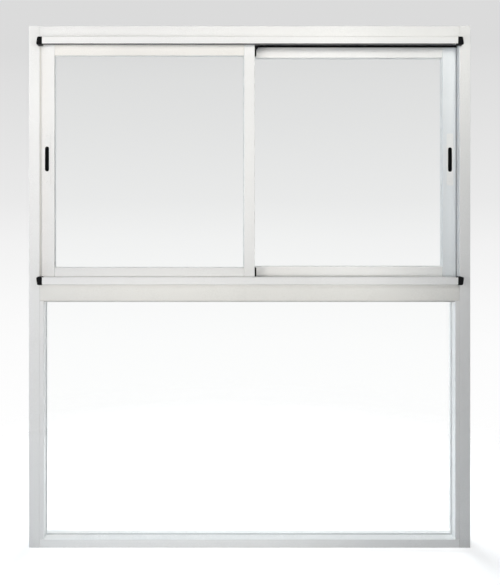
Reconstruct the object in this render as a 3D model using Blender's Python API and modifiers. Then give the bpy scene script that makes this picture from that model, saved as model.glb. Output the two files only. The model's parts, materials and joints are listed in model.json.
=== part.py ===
"""A white aluminium window: two sliding sashes over one fixed light.

Metres, +Z up. The outside face looks along -Y. The origin is the middle of the
sill's underside. The left sash runs in the front track and the right one behind it.
Every member is a real extrusion: a thin-walled section drawn once and drawn out.
"""

import math

import bpy
import bmesh

# Overall size of the frame
FRAME_WIDTH = 1.100
FRAME_HEIGHT = 1.300
FRAME_DEPTH = 0.066

# Frame sections
FRAME_WALL = 0.0016
FIT = 0.0003
JAMB_TUBE = 0.0205
JAMB_LIP = 0.0065
JAMB_FIN = 0.0022
HEAD_TUBE = 0.016
HEAD_LIP = 0.031
TRANSOM_UNDERSIDE = 0.615
TRANSOM_TUBE = 0.023
TRANSOM_FRONT_LIP = 0.0375
TRANSOM_REAR_LIP = 0.045
TRANSOM_FIN = 0.022
TRACK_RISE = 0.014
TRACK_WALL = 0.002
TRACK_NOTCH_CLEARANCE = 0.0025
SILL_FACE = 0.0205
LINER_FACE = 0.0105
EDGE_ROUND = 0.0012

# Fixed light
REVEAL = 0.027
REBATE = 0.010
FIXED_GLASS = 0.004
FIXED_GASKET = 0.0022
GASKET_SHOWS = 0.001
GLASS_EDGE_CUSHION = 0.002
BEAD_WALL = 0.0014
BEAD_BACK_HEIGHT = 0.0035

# Sashes
SASH_THICKNESS = 0.022
SASH_SETBACK = 0.006
SASH_PITCH = 0.030
SASH_WALL = 0.0014
SASH_SIDE_ENTRY = 0.004
LEFT_SASH_SHORT_BY = 0.0055
SASH_TOP_CLEARANCE = 0.008
SASH_FLOOR_CLEARANCE = 0.007
OUTER_STILE = 0.0345
MEETING_STILE = 0.0265
TOP_RAIL = 0.0485
BOTTOM_RAIL = 0.052
POCKET_DEPTH = 0.012
POCKET_MOUTH = 0.011
SASH_GLASS = 0.004
STILE_GROOVE_IN = 0.0055
STILE_GROOVE_WIDTH = 0.001
STILE_GROOVE_DEPTH = 0.0005

# Interlock where the sashes meet
HOOK_IN = 0.00865
HOOK_REACH = 0.0064
HOOK_FOOT = 0.0066
HOOK_END_CLEARANCE = 0.0025
SEAL_BLOCK_WIDTH = 0.0038
SEAL_BLOCK_TOE = 0.007
SEAL_BLOCK_TOE_RISE = 0.009
SEAL_BLOCK_TOE_HIDDEN = 0.001
SEAL_BLOCK_SETBACK = 0.002

# Rollers
WHEEL_RADIUS = 0.011
WHEEL_WIDTH = 0.008
WHEEL_GROOVE_DEPTH = 0.0025
WHEEL_GROOVE_WIDTH = 0.0032
AXLE_RADIUS = 0.0025
ROLLER_IN = 0.085

# Locks in the outer stiles
LOCK_HEIGHT = 0.969
LOCK_SLOT_WIDTH = 0.0096
LOCK_SLOT_LENGTH = 0.062
LOCK_IN = 0.0158
LOCK_CUP_DEPTH = 0.009
LOCK_CUP_WALL = 0.0012
LOCK_LEVER_WIDTH = 0.003
LOCK_LEVER_LENGTH = 0.024
LOCK_LEVER_RISE = 0.005
LOCK_LEVER_DROP = 0.002
LOCK_PLATE_WIDTH = 0.017
LOCK_PLATE_LENGTH = 0.132
LOCK_PLATE_THICKNESS = 0.0008
LOCK_PLATE_ROUND = 0.003

# Insect screen guides on the front
GUIDE_DEPTH = 0.018
GUIDE_HEIGHT = 0.018
GUIDE_WALL = 0.0015
GUIDE_ROUND = 0.0025
GUIDE_END_IN = 0.0367
CAP_LENGTH = 0.0145
CAP_HEIGHT = 0.020
CAP_DROP = 0.001
CAP_SLANT = 0.003
CAP_ROUND = 0.0035
CAP_EDGE_ROUND = 0.001
CAP_EDGE_STEPS = 2
CAP_PLUG = 0.010
CAP_PLUG_ROOT = 0.002
CAP_PLUG_RECESS = 0.006

# Pile strip on the head's middle fin
PILE_THICKNESS = 0.0026
PILE_HEIGHT = 0.009
PILE_HANG = 0.0005

# How finely rounds are drawn, and how solids meet
ARC_STEPS = 3
WHEEL_STEPS = 20
SHARP_ANGLE = math.radians(35)
WELD_DISTANCE = 0.000001
CUT_BEYOND = 0.002
JOIN_BITE = 0.0002

# Places that follow from the sizes
HALF_WIDTH = FRAME_WIDTH / 2
FRONT_Y = GUIDE_DEPTH - (FRAME_DEPTH + GUIDE_DEPTH) / 2
BACK_Y = FRONT_Y + FRAME_DEPTH
CHANNEL_X = HALF_WIDTH - JAMB_TUBE
LIP_X = CHANNEL_X - JAMB_LIP
FIN_X = CHANNEL_X - JAMB_FIN
LIGHT_X = LIP_X - LINER_FACE
SHOULDER_Y = FRONT_Y + REVEAL
FRONT_SASH_Y = FRONT_Y + SASH_SETBACK
REAR_SASH_Y = FRONT_SASH_Y + SASH_PITCH
FIN_Y = (FRONT_SASH_Y + SASH_THICKNESS + REAR_SASH_Y) / 2
HEAD_LIP_Z = FRAME_HEIGHT - HEAD_TUBE - HEAD_LIP
TRACK_FLOOR_Z = TRANSOM_UNDERSIDE + TRANSOM_TUBE
TRACK_TOP_Z = TRACK_FLOOR_Z + TRACK_RISE
SASH_BOTTOM_Z = TRACK_FLOOR_Z + SASH_FLOOR_CLEARANCE
SASH_TOP_Z = FRAME_HEIGHT - HEAD_TUBE - SASH_TOP_CLEARANCE
RIGHT_SASH_X = LIP_X + SASH_SIDE_ENTRY
LEFT_SASH_X = LEFT_SASH_SHORT_BY - RIGHT_SASH_X
MEETING_X = MEETING_STILE / 2
UPPER_GUIDE_Z = HEAD_LIP_Z - FIT
LOWER_GUIDE_Z = TRACK_FLOOR_Z + TRANSOM_FRONT_LIP - GUIDE_HEIGHT


def clear_scene():
    for obj in list(bpy.data.objects):
        bpy.data.objects.remove(obj, do_unlink=True)


def make_collection(name, hidden=False):
    collection = bpy.data.collections.new(name)
    collection.hide_render = hidden
    bpy.context.scene.collection.children.link(collection)
    return collection


def make_material(name, colour, roughness, metallic=0.0, transmission=0.0):
    material = bpy.data.materials.new(name)
    material.use_nodes = True
    shader = material.node_tree.nodes["Principled BSDF"]
    shader.inputs["Base Color"].default_value = (*colour, 1.0)
    shader.inputs["Roughness"].default_value = roughness
    shader.inputs["Metallic"].default_value = metallic
    shader.inputs["Transmission Weight"].default_value = transmission
    material.diffuse_color = (*colour, 1.0)
    return material


clear_scene()
PARTS = make_collection("sliding_window")
CUTTERS = make_collection("sliding_window_cutters", hidden=True)
COATING = ("white_coating", (0.86, 0.87, 0.86), 0.28)
GLASS = ("clear_glass", (0.90, 0.94, 0.93), 0.02, 0.0, 1.0)
BLACK_PLASTIC = ("black_plastic", (0.012, 0.012, 0.013), 0.45)
GREY_RUBBER = ("grey_rubber", (0.52, 0.53, 0.53), 0.6)
BLACK_PILE = ("black_pile", (0.015, 0.015, 0.015), 0.95)
NYLON = ("white_nylon", (0.80, 0.79, 0.75), 0.5)


def finish_piece(obj, name, finish):
    """Names a piece and gives it a material of its own."""
    obj.name = name
    obj.data.name = name
    finish_name, *values = finish
    obj.data.materials.clear()
    obj.data.materials.append(make_material(f"{name}_{finish_name}", *values))
    return obj


def arc_corner(before, corner, after, radius):
    """Points of the fillet that rounds a corner of an outline."""
    ax, ay = before[0] - corner[0], before[1] - corner[1]
    bx, by = after[0] - corner[0], after[1] - corner[1]
    a_length = math.hypot(ax, ay)
    b_length = math.hypot(bx, by)
    ax, ay, bx, by = ax / a_length, ay / a_length, bx / b_length, by / b_length
    half_angle = math.acos(max(-1.0, min(1.0, ax * bx + ay * by))) / 2
    reach = min(radius / math.tan(half_angle), 0.49 * a_length, 0.49 * b_length)
    radius = reach * math.tan(half_angle)
    centre_reach = radius / math.sin(half_angle)
    mid_x, mid_y = ax + bx, ay + by
    mid_length = math.hypot(mid_x, mid_y)
    centre = (
        corner[0] + mid_x / mid_length * centre_reach,
        corner[1] + mid_y / mid_length * centre_reach,
    )
    start = math.atan2(corner[1] + ay * reach - centre[1], corner[0] + ax * reach - centre[0])
    end = math.atan2(corner[1] + by * reach - centre[1], corner[0] + bx * reach - centre[0])
    turn = (end - start + math.pi) % (2 * math.pi) - math.pi
    steps = max(2, round(ARC_STEPS * abs(turn) / (math.pi / 2)))
    angles = [start + turn * step / steps for step in range(steps + 1)]
    return [(centre[0] + radius * math.cos(a), centre[1] + radius * math.sin(a)) for a in angles]


def outline(corners):
    """A closed outline from corners (a, b) or, where it is rounded, (a, b, radius)."""
    points = []
    for index, corner in enumerate(corners):
        if len(corner) == 2:
            points.append(corner)
            continue
        before = corners[index - 1]
        after = corners[(index + 1) % len(corners)]
        points += arc_corner(before, corner, after, corner[2])
    return points


def rectangle(low_a, low_b, high_a, high_b, radius=0.0):
    corners = [(low_a, low_b), (high_a, low_b), (high_a, high_b), (low_a, high_b)]
    if radius:
        corners = [(*corner, radius) for corner in corners]
    return outline(corners)


def mirrored(points):
    return [(-first, second) for first, second in points]


def section_curve(outlines, length):
    """A flat filled outline, with its hollows, drawn out to the length."""
    curve = bpy.data.curves.new("section", "CURVE")
    curve.dimensions = "2D"
    curve.fill_mode = "BOTH"
    curve.extrude = length / 2
    for points in outlines:
        spline = curve.splines.new("POLY")
        spline.points.add(len(points) - 1)
        for spot, (first, second) in zip(spline.points, points):
            spot.co = (first, second, 0.0, 1.0)
        spline.use_cyclic_u = True
    obj = bpy.data.objects.new("section", curve)
    PARTS.objects.link(obj)
    return obj


def run_along_x(outlines, low_x, high_x):
    """A horizontal member: its outlines are drawn in Y and Z."""
    obj = section_curve(outlines, high_x - low_x)
    obj.location = ((low_x + high_x) / 2, 0.0, 0.0)
    obj.rotation_euler = (math.pi / 2, 0.0, math.pi / 2)
    return obj


def run_along_z(outlines, low_z, high_z):
    """An upright member: its outlines are drawn in X and Y."""
    obj = section_curve(outlines, high_z - low_z)
    obj.location = (0.0, 0.0, (low_z + high_z) / 2)
    return obj


def run_along_y(outlines, low_y, high_y):
    """A piece whose outlines are drawn in X and Z."""
    obj = section_curve(outlines, high_y - low_y)
    obj.location = (0.0, (low_y + high_y) / 2, 0.0)
    obj.rotation_euler = (math.pi / 2, 0.0, 0.0)
    return obj


def as_mesh(drawn):
    """The same solid as a mesh whose caps are joined to its sides, ready to be cut."""
    bpy.context.view_layer.update()
    graph = bpy.context.evaluated_depsgraph_get()
    mesh = bpy.data.meshes.new_from_object(drawn.evaluated_get(graph))
    solid = bmesh.new()
    solid.from_mesh(mesh)
    bmesh.ops.remove_doubles(solid, verts=solid.verts, dist=WELD_DISTANCE)
    bmesh.ops.recalc_face_normals(solid, faces=solid.faces)
    solid.to_mesh(mesh)
    solid.free()
    mesh.shade_smooth()
    mesh.set_sharp_from_angle(angle=SHARP_ANGLE)
    obj = bpy.data.objects.new("solid", mesh)
    obj.matrix_world = drawn.matrix_world.copy()
    PARTS.objects.link(obj)
    bpy.data.objects.remove(drawn, do_unlink=True)
    return obj


def make_box(low, high):
    """A cube primitive brought to its size, with its scale applied."""
    middle = [(a + b) / 2 for a, b in zip(low, high)]
    bpy.ops.mesh.primitive_cube_add(size=1.0, location=middle)
    obj = bpy.context.object
    for vertex in obj.data.vertices:
        vertex.co = [side * (b - a) for side, a, b in zip(vertex.co, low, high)]
    for collection in list(obj.users_collection):
        collection.objects.unlink(obj)
    PARTS.objects.link(obj)
    return obj


def use_as_cutter(obj, name):
    obj.name = name
    obj.hide_render = True
    obj.display_type = "WIRE"
    PARTS.objects.unlink(obj)
    CUTTERS.objects.link(obj)
    return obj


def combine(obj, other, operation, solver="EXACT"):
    """Cuts or joins a piece; thin sections whose walls line up need the MANIFOLD solver."""
    modifier = obj.modifiers.new(operation.lower(), "BOOLEAN")
    modifier.operation = operation
    modifier.object = other
    modifier.solver = solver
    return obj


def notch(obj, low, high, name):
    """Cuts a box-shaped notch out of a member."""
    return combine(obj, use_as_cutter(make_box(low, high), f"{name}_cutter"), "DIFFERENCE")


def on_side(side, points):
    """Outline points given for the right side, moved to the side asked for."""
    return points if side > 0 else mirrored(points)


def jamb_outline():
    """The right jamb: an outer tube with a front lip, a middle fin and a rear lip."""
    fin_low = FIN_Y - FRAME_WALL / 2
    fin_high = FIN_Y + FRAME_WALL / 2
    return outline(
        [
            (HALF_WIDTH, FRONT_Y, EDGE_ROUND),
            (HALF_WIDTH, BACK_Y, EDGE_ROUND),
            (LIP_X, BACK_Y),
            (LIP_X, BACK_Y - FRAME_WALL),
            (CHANNEL_X, BACK_Y - FRAME_WALL),
            (CHANNEL_X, fin_high),
            (FIN_X, fin_high),
            (FIN_X, fin_low),
            (CHANNEL_X, fin_low),
            (CHANNEL_X, FRONT_Y + FRAME_WALL),
            (LIP_X, FRONT_Y + FRAME_WALL),
            (LIP_X, FRONT_Y, EDGE_ROUND),
        ]
    )


def make_jamb(name, side):
    hollow = rectangle(
        CHANNEL_X + FRAME_WALL,
        FRONT_Y + FRAME_WALL,
        HALF_WIDTH - FRAME_WALL,
        BACK_Y - FRAME_WALL,
    )
    outlines = [on_side(side, jamb_outline()), on_side(side, hollow)]
    return finish_piece(run_along_z(outlines, 0.0, FRAME_HEIGHT), name, COATING)


def notch_for_jambs(member, name, low_z, high_z):
    """A fabricator cuts each end of a cross member round the lips and fin of the jamb."""
    spans = {
        "front_lip": (LIP_X, FRONT_Y - FIT, FRONT_Y + FRAME_WALL + FIT),
        "fin": (FIN_X, FIN_Y - FRAME_WALL / 2 - FIT, FIN_Y + FRAME_WALL / 2 + FIT),
        "rear_lip": (LIP_X, BACK_Y - FRAME_WALL - FIT, BACK_Y + FIT),
    }
    for label, side in (("left", -1), ("right", 1)):
        for part, (edge_x, low_y, high_y) in spans.items():
            ends = sorted((side * (edge_x - FIT), side * HALF_WIDTH))
            low = (ends[0], low_y, low_z - FIT)
            high = (ends[1], high_y, high_z + FIT)
            notch(member, low, high, f"{name}_{label}_{part}")
    return member


def make_head():
    fin_low = FIN_Y - FRAME_WALL / 2
    fin_high = FIN_Y + FRAME_WALL / 2
    ceiling_z = FRAME_HEIGHT - HEAD_TUBE
    shape = outline(
        [
            (FRONT_Y, FRAME_HEIGHT, EDGE_ROUND),
            (FRONT_Y, HEAD_LIP_Z),
            (FRONT_Y + FRAME_WALL, HEAD_LIP_Z),
            (FRONT_Y + FRAME_WALL, ceiling_z),
            (fin_low, ceiling_z),
            (fin_low, HEAD_LIP_Z),
            (fin_high, HEAD_LIP_Z),
            (fin_high, ceiling_z),
            (BACK_Y - FRAME_WALL, ceiling_z),
            (BACK_Y - FRAME_WALL, HEAD_LIP_Z),
            (BACK_Y, HEAD_LIP_Z),
            (BACK_Y, FRAME_HEIGHT, EDGE_ROUND),
        ]
    )
    hollow = rectangle(
        FRONT_Y + FRAME_WALL,
        ceiling_z + FRAME_WALL,
        BACK_Y - FRAME_WALL,
        FRAME_HEIGHT - FRAME_WALL,
    )
    head = as_mesh(run_along_x([shape, hollow], FIT - CHANNEL_X, CHANNEL_X - FIT))
    notch_for_jambs(head, "head", HEAD_LIP_Z, FRAME_HEIGHT)
    return finish_piece(head, "head", COATING)


def make_transom():
    """The middle member: the sliding sashes' track above, the fixed light's rebate below."""
    under_z = TRANSOM_UNDERSIDE
    floor_z = TRACK_FLOOR_Z
    half_fin = FRAME_WALL / 2
    half_track = TRACK_WALL / 2
    front_track_y = FRONT_SASH_Y + SASH_THICKNESS / 2
    rear_track_y = REAR_SASH_Y + SASH_THICKNESS / 2
    shape = outline(
        [
            (FRONT_Y, under_z, EDGE_ROUND),
            (SHOULDER_Y, under_z),
            (SHOULDER_Y, under_z + REBATE),
            (BACK_Y, under_z + REBATE),
            (BACK_Y, floor_z + TRANSOM_REAR_LIP),
            (BACK_Y - FRAME_WALL, floor_z + TRANSOM_REAR_LIP),
            (BACK_Y - FRAME_WALL, floor_z),
            (rear_track_y + half_track, floor_z),
            (rear_track_y + half_track, TRACK_TOP_Z, half_track),
            (rear_track_y - half_track, TRACK_TOP_Z, half_track),
            (rear_track_y - half_track, floor_z),
            (FIN_Y + half_fin, floor_z),
            (FIN_Y + half_fin, floor_z + TRANSOM_FIN),
            (FIN_Y - half_fin, floor_z + TRANSOM_FIN),
            (FIN_Y - half_fin, floor_z),
            (front_track_y + half_track, floor_z),
            (front_track_y + half_track, TRACK_TOP_Z, half_track),
            (front_track_y - half_track, TRACK_TOP_Z, half_track),
            (front_track_y - half_track, floor_z),
            (FRONT_Y + FRAME_WALL, floor_z),
            (FRONT_Y + FRAME_WALL, floor_z + TRANSOM_FRONT_LIP),
            (FRONT_Y, floor_z + TRANSOM_FRONT_LIP),
        ]
    )
    hollow = [
        (FRONT_Y + FRAME_WALL, under_z + FRAME_WALL),
        (SHOULDER_Y - FRAME_WALL, under_z + FRAME_WALL),
        (SHOULDER_Y - FRAME_WALL, under_z + REBATE + FRAME_WALL),
        (BACK_Y - FRAME_WALL, under_z + REBATE + FRAME_WALL),
        (BACK_Y - FRAME_WALL, floor_z - FRAME_WALL),
        (FRONT_Y + FRAME_WALL, floor_z - FRAME_WALL),
    ]
    transom = as_mesh(run_along_x([shape, hollow], FIT - CHANNEL_X, CHANNEL_X - FIT))
    notch_for_jambs(transom, "transom", under_z, floor_z + TRANSOM_REAR_LIP)
    return finish_piece(transom, "transom", COATING)


def make_sill():
    rebate_z = SILL_FACE - REBATE
    shape = outline(
        [
            (FRONT_Y, 0.0, EDGE_ROUND),
            (BACK_Y, 0.0, EDGE_ROUND),
            (BACK_Y, rebate_z),
            (SHOULDER_Y, rebate_z),
            (SHOULDER_Y, SILL_FACE),
            (FRONT_Y, SILL_FACE, EDGE_ROUND),
        ]
    )
    hollow = [
        (FRONT_Y + FRAME_WALL, FRAME_WALL),
        (BACK_Y - FRAME_WALL, FRAME_WALL),
        (BACK_Y - FRAME_WALL, rebate_z - FRAME_WALL),
        (SHOULDER_Y - FRAME_WALL, rebate_z - FRAME_WALL),
        (SHOULDER_Y - FRAME_WALL, SILL_FACE - FRAME_WALL),
        (FRONT_Y + FRAME_WALL, SILL_FACE - FRAME_WALL),
    ]
    sill = as_mesh(run_along_x([shape, hollow], FIT - CHANNEL_X, CHANNEL_X - FIT))
    notch_for_jambs(sill, "sill", 0.0, SILL_FACE)
    return finish_piece(sill, "sill", COATING)


def make_liner(name, side):
    """Fills a jamb's channel beside the fixed light and gives the glass its shoulder."""
    inside_y = FRONT_Y + FRAME_WALL + FIT
    deep_x = CHANNEL_X - FIT
    shape = outline(
        [
            (deep_x, inside_y),
            (deep_x, SHOULDER_Y),
            (LIGHT_X, SHOULDER_Y),
            (LIGHT_X, FRONT_Y, EDGE_ROUND),
            (LIP_X - FIT, FRONT_Y),
            (LIP_X - FIT, inside_y),
        ]
    )
    hollow = rectangle(
        LIGHT_X + FRAME_WALL,
        inside_y + FRAME_WALL,
        deep_x - FRAME_WALL,
        SHOULDER_Y - FRAME_WALL,
    )
    outlines = [on_side(side, shape), on_side(side, hollow)]
    liner = run_along_z(outlines, SILL_FACE + FIT, TRANSOM_UNDERSIDE - FIT)
    return finish_piece(liner, name, COATING)


FIXED_GLASS_Y = SHOULDER_Y + FIT + FIXED_GASKET
BEAD_Y = FIXED_GLASS_Y + FIXED_GLASS + FIXED_GASKET + FIT


def bead_outlines():
    """A glazing bead's section as (up from the rebate's floor, depth) points."""
    wall = BEAD_WALL
    height = REBATE - FIT
    back_height = BEAD_BACK_HEIGHT
    shape = outline(
        [
            (0.0, BEAD_Y),
            (height, BEAD_Y, EDGE_ROUND),
            (back_height, BACK_Y),
            (0.0, BACK_Y),
        ]
    )
    fall = (height - back_height) / (BACK_Y - BEAD_Y)
    drop = wall * math.hypot(1.0, fall)
    hollow = [
        (wall, BEAD_Y + wall),
        (height - drop - fall * wall, BEAD_Y + wall),
        (back_height - drop + fall * wall, BACK_Y - wall),
        (wall, BACK_Y - wall),
    ]
    return [shape, hollow]


def make_side_bead(name, side):
    floor_x = side * (LIGHT_X + REBATE - FIT)
    outlines = [
        [(floor_x - side * up, depth) for up, depth in points] for points in bead_outlines()
    ]
    bead = run_along_z(outlines, SILL_FACE + FIT, TRANSOM_UNDERSIDE - FIT)
    return finish_piece(bead, name, COATING)


def make_cross_bead(name, floor_z, direction):
    """The bead on a cross member; direction is 1 where it stands on the member below."""
    outlines = [
        [(depth, floor_z + direction * (up + FIT)) for up, depth in points]
        for points in bead_outlines()
    ]
    half_length = LIP_X - 2 * FIT
    return finish_piece(run_along_x(outlines, -half_length, half_length), name, COATING)


def make_glazing(prefix, sight, pocket, glass_y, thickness, gasket_y):
    """A pane and the grey gasket that wraps its edge.

    sight and pocket are (low x, low z, high x, high z): where the frame stops hiding
    the glass, and the bottom of the pocket that holds it.
    """
    edge = GLASS_EDGE_CUSHION
    pane_low = (pocket[0] + edge, glass_y, pocket[1] + edge)
    pane_high = (pocket[2] - edge, glass_y + thickness, pocket[3] - edge)
    pane = make_box(pane_low, pane_high)
    finish_piece(pane, f"{prefix}_glass", GLASS)
    outer = rectangle(pocket[0] + FIT, pocket[1] + FIT, pocket[2] - FIT, pocket[3] - FIT)
    inner = rectangle(
        sight[0] + GASKET_SHOWS,
        sight[1] + GASKET_SHOWS,
        sight[2] - GASKET_SHOWS,
        sight[3] - GASKET_SHOWS,
    )
    gasket = as_mesh(run_along_y([outer, inner], *gasket_y))
    low = [value - FIT for value in pane_low]
    high = [value + FIT for value in pane_high]
    notch(gasket, low, high, f"{prefix}_gasket_groove")
    return finish_piece(gasket, f"{prefix}_gasket", GREY_RUBBER)


def make_fixed_light():
    make_liner("left_glazing_liner", -1)
    make_liner("right_glazing_liner", 1)
    make_side_bead("left_glazing_bead", -1)
    make_side_bead("right_glazing_bead", 1)
    make_cross_bead("bottom_glazing_bead", SILL_FACE - REBATE, 1)
    make_cross_bead("top_glazing_bead", TRANSOM_UNDERSIDE + REBATE, -1)
    sight = (-LIGHT_X, SILL_FACE, LIGHT_X, TRANSOM_UNDERSIDE)
    pocket = (
        -LIGHT_X - REBATE,
        SILL_FACE - REBATE,
        LIGHT_X + REBATE,
        TRANSOM_UNDERSIDE + REBATE,
    )
    gasket_y = (SHOULDER_Y + FIT, BEAD_Y - FIT)
    make_glazing("fixed", sight, pocket, FIXED_GLASS_Y, FIXED_GLASS, gasket_y)


def stile_outline(width, groove_in=None):
    """A stile's section as (in from its outer edge, back from its face) points."""
    wall = SASH_WALL
    thick = SASH_THICKNESS
    lip = (thick - POCKET_MOUTH) / 2
    floor = width - POCKET_DEPTH
    corners = [(0.0, 0.0, EDGE_ROUND)]
    if groove_in:
        half = STILE_GROOVE_WIDTH / 2
        corners += [
            (groove_in - half, 0.0),
            (groove_in, STILE_GROOVE_DEPTH),
            (groove_in + half, 0.0),
        ]
    corners += [
        (width, 0.0, EDGE_ROUND),
        (width, lip),
        (width - wall, lip),
        (width - wall, wall),
        (floor, wall),
        (floor, thick - wall),
        (width - wall, thick - wall),
        (width - wall, thick - lip),
        (width, thick - lip),
        (width, thick, EDGE_ROUND),
        (0.0, thick, EDGE_ROUND),
    ]
    return outline(corners)


def stile_hollow(width):
    wall = SASH_WALL
    return rectangle(wall, wall, width - POCKET_DEPTH - wall, SASH_THICKNESS - wall)


def place_section(points, edge_x, direction, face_y, turned=False):
    """Section points set at a stile's outer edge; turned swaps its face and its back."""
    placed = []
    for across, back in points:
        depth = SASH_THICKNESS - back if turned else back
        placed.append((edge_x + direction * across, face_y + depth))
    return placed


def pill(centre_x, centre_z, width, length):
    """A slot's outline: straight sides between two half circles."""
    radius = width / 2
    straight = length / 2 - radius
    points = []
    for end, first_angle in ((1, 0.0), (-1, math.pi)):
        for step in range(2 * ARC_STEPS + 1):
            angle = first_angle + math.pi * step / (2 * ARC_STEPS)
            x = centre_x + radius * math.cos(angle)
            points.append((x, centre_z + end * straight + radius * math.sin(angle)))
    return points


def notch_for_track(stile, name, face_y):
    """A stile's foot is notched so that it straddles the track's rib."""
    middle_y = face_y + SASH_THICKNESS / 2
    half = TRACK_WALL / 2 + TRACK_NOTCH_CLEARANCE
    low = (-HALF_WIDTH, middle_y - half, SASH_BOTTOM_Z - TRACK_NOTCH_CLEARANCE)
    high = (HALF_WIDTH, middle_y + half, TRACK_TOP_Z + TRACK_NOTCH_CLEARANCE)
    return notch(stile, low, high, f"{name}_track_notch")


def make_outer_stile(prefix, side, face_y, edge_x):
    outlines = [
        place_section(stile_outline(OUTER_STILE, STILE_GROOVE_IN), edge_x, -side, face_y),
        place_section(stile_hollow(OUTER_STILE), edge_x, -side, face_y),
    ]
    stile = as_mesh(run_along_z(outlines, SASH_BOTTOM_Z, SASH_TOP_Z))
    slot = pill(
        edge_x - side * LOCK_IN,
        LOCK_HEIGHT,
        LOCK_SLOT_WIDTH + 2 * FIT,
        LOCK_SLOT_LENGTH + 2 * FIT,
    )
    high_y = face_y + SASH_THICKNESS + CUT_BEYOND
    through = as_mesh(run_along_y([slot], face_y - CUT_BEYOND, high_y))
    slot_cutter = use_as_cutter(through, f"{prefix}_lock_slot_cutter")
    combine(stile, slot_cutter, "DIFFERENCE", "MANIFOLD")
    notch_for_track(stile, f"{prefix}_outer_stile", face_y)
    return finish_piece(stile, f"{prefix}_outer_stile", COATING)


def hook_outline():
    """The interlock's hook on a stile's back wall: a leg and a foot that turns inwards."""
    wall = SASH_WALL
    root = SASH_THICKNESS - wall / 2
    tip = SASH_THICKNESS + HOOK_REACH
    return [
        (HOOK_IN, root),
        (HOOK_IN + wall, root),
        (HOOK_IN + wall, tip - wall),
        (HOOK_IN + HOOK_FOOT, tip - wall),
        (HOOK_IN + HOOK_FOOT, tip),
        (HOOK_IN, tip),
    ]


def make_meeting_stile(prefix, side, face_y, turned):
    """Its hook faces the other sash and stops short of the frame's middle fins."""
    edge_x = -side * MEETING_X
    outlines = [
        place_section(stile_outline(MEETING_STILE), edge_x, side, face_y, turned),
        place_section(stile_hollow(MEETING_STILE), edge_x, side, face_y, turned),
    ]
    stile = as_mesh(run_along_z(outlines, SASH_BOTTOM_Z, SASH_TOP_Z))
    low_z = TRACK_FLOOR_Z + TRANSOM_FIN + HOOK_END_CLEARANCE
    high_z = HEAD_LIP_Z - PILE_HANG - HOOK_END_CLEARANCE
    hook_section = place_section(hook_outline(), edge_x, side, face_y, turned)
    hook = as_mesh(run_along_z([hook_section], low_z, high_z))
    combine(stile, use_as_cutter(hook, f"{prefix}_hook_join"), "UNION", "MANIFOLD")
    notch_for_track(stile, f"{prefix}_meeting_stile", face_y)
    return finish_piece(stile, f"{prefix}_meeting_stile", COATING)


def rail_outline(height):
    """A rail's section as (depth, up from its open edge): glass pocket at its closed edge."""
    wall = SASH_WALL
    thick = SASH_THICKNESS
    lip = (thick - POCKET_MOUTH) / 2
    floor = height - POCKET_DEPTH
    return outline(
        [
            (0.0, 0.0),
            (wall, 0.0),
            (wall, floor - wall),
            (thick - wall, floor - wall),
            (thick - wall, 0.0),
            (thick, 0.0),
            (thick, height, EDGE_ROUND),
            (thick - lip, height),
            (thick - lip, height - wall),
            (thick - wall, height - wall),
            (thick - wall, floor),
            (wall, floor),
            (wall, height - wall),
            (lip, height - wall),
            (lip, height),
            (0.0, height, EDGE_ROUND),
        ]
    )


def make_rails(prefix, low_x, high_x, face_y):
    bottom = [(face_y + depth, SASH_BOTTOM_Z + up) for depth, up in rail_outline(BOTTOM_RAIL)]
    top = [(face_y + depth, SASH_TOP_Z - up) for depth, up in rail_outline(TOP_RAIL)]
    for name, points in ((f"{prefix}_bottom_rail", bottom), (f"{prefix}_top_rail", top)):
        finish_piece(run_along_x([points], low_x + FIT, high_x - FIT), name, COATING)


def make_roller(name, x, centre_y):
    """A grooved wheel turned with its axle, standing on the track's rib."""
    groove_radius = WHEEL_RADIUS - WHEEL_GROOVE_DEPTH
    half_axle = SASH_THICKNESS / 2 - SASH_WALL - FIT
    half_wheel = WHEEL_WIDTH / 2
    half_groove = WHEEL_GROOVE_WIDTH / 2
    half_floor = TRACK_WALL / 2
    profile = [
        (0.0, half_axle),
        (AXLE_RADIUS, half_axle),
        (AXLE_RADIUS, half_wheel),
        (WHEEL_RADIUS, half_wheel),
        (WHEEL_RADIUS, half_groove),
        (groove_radius, half_floor),
        (groove_radius, -half_floor),
        (WHEEL_RADIUS, -half_groove),
        (WHEEL_RADIUS, -half_wheel),
        (AXLE_RADIUS, -half_wheel),
        (AXLE_RADIUS, -half_axle),
        (0.0, -half_axle),
    ]
    mesh = bpy.data.meshes.new(name)
    shape = bmesh.new()
    spots = [shape.verts.new((radius, 0.0, along)) for radius, along in profile]
    for first, second in zip(spots, spots[1:]):
        shape.edges.new((first, second))
    shape.to_mesh(mesh)
    shape.free()
    roller = bpy.data.objects.new(name, mesh)
    PARTS.objects.link(roller)
    screw = roller.modifiers.new("turn", "SCREW")
    screw.steps = WHEEL_STEPS
    screw.render_steps = WHEEL_STEPS
    screw.use_merge_vertices = True
    screw.merge_threshold = WELD_DISTANCE
    roller.rotation_euler = (math.pi / 2, 0.0, 0.0)
    roller.location = (x, centre_y, TRACK_TOP_Z + groove_radius + FIT)
    return finish_piece(as_mesh(roller), name, NYLON)


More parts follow.
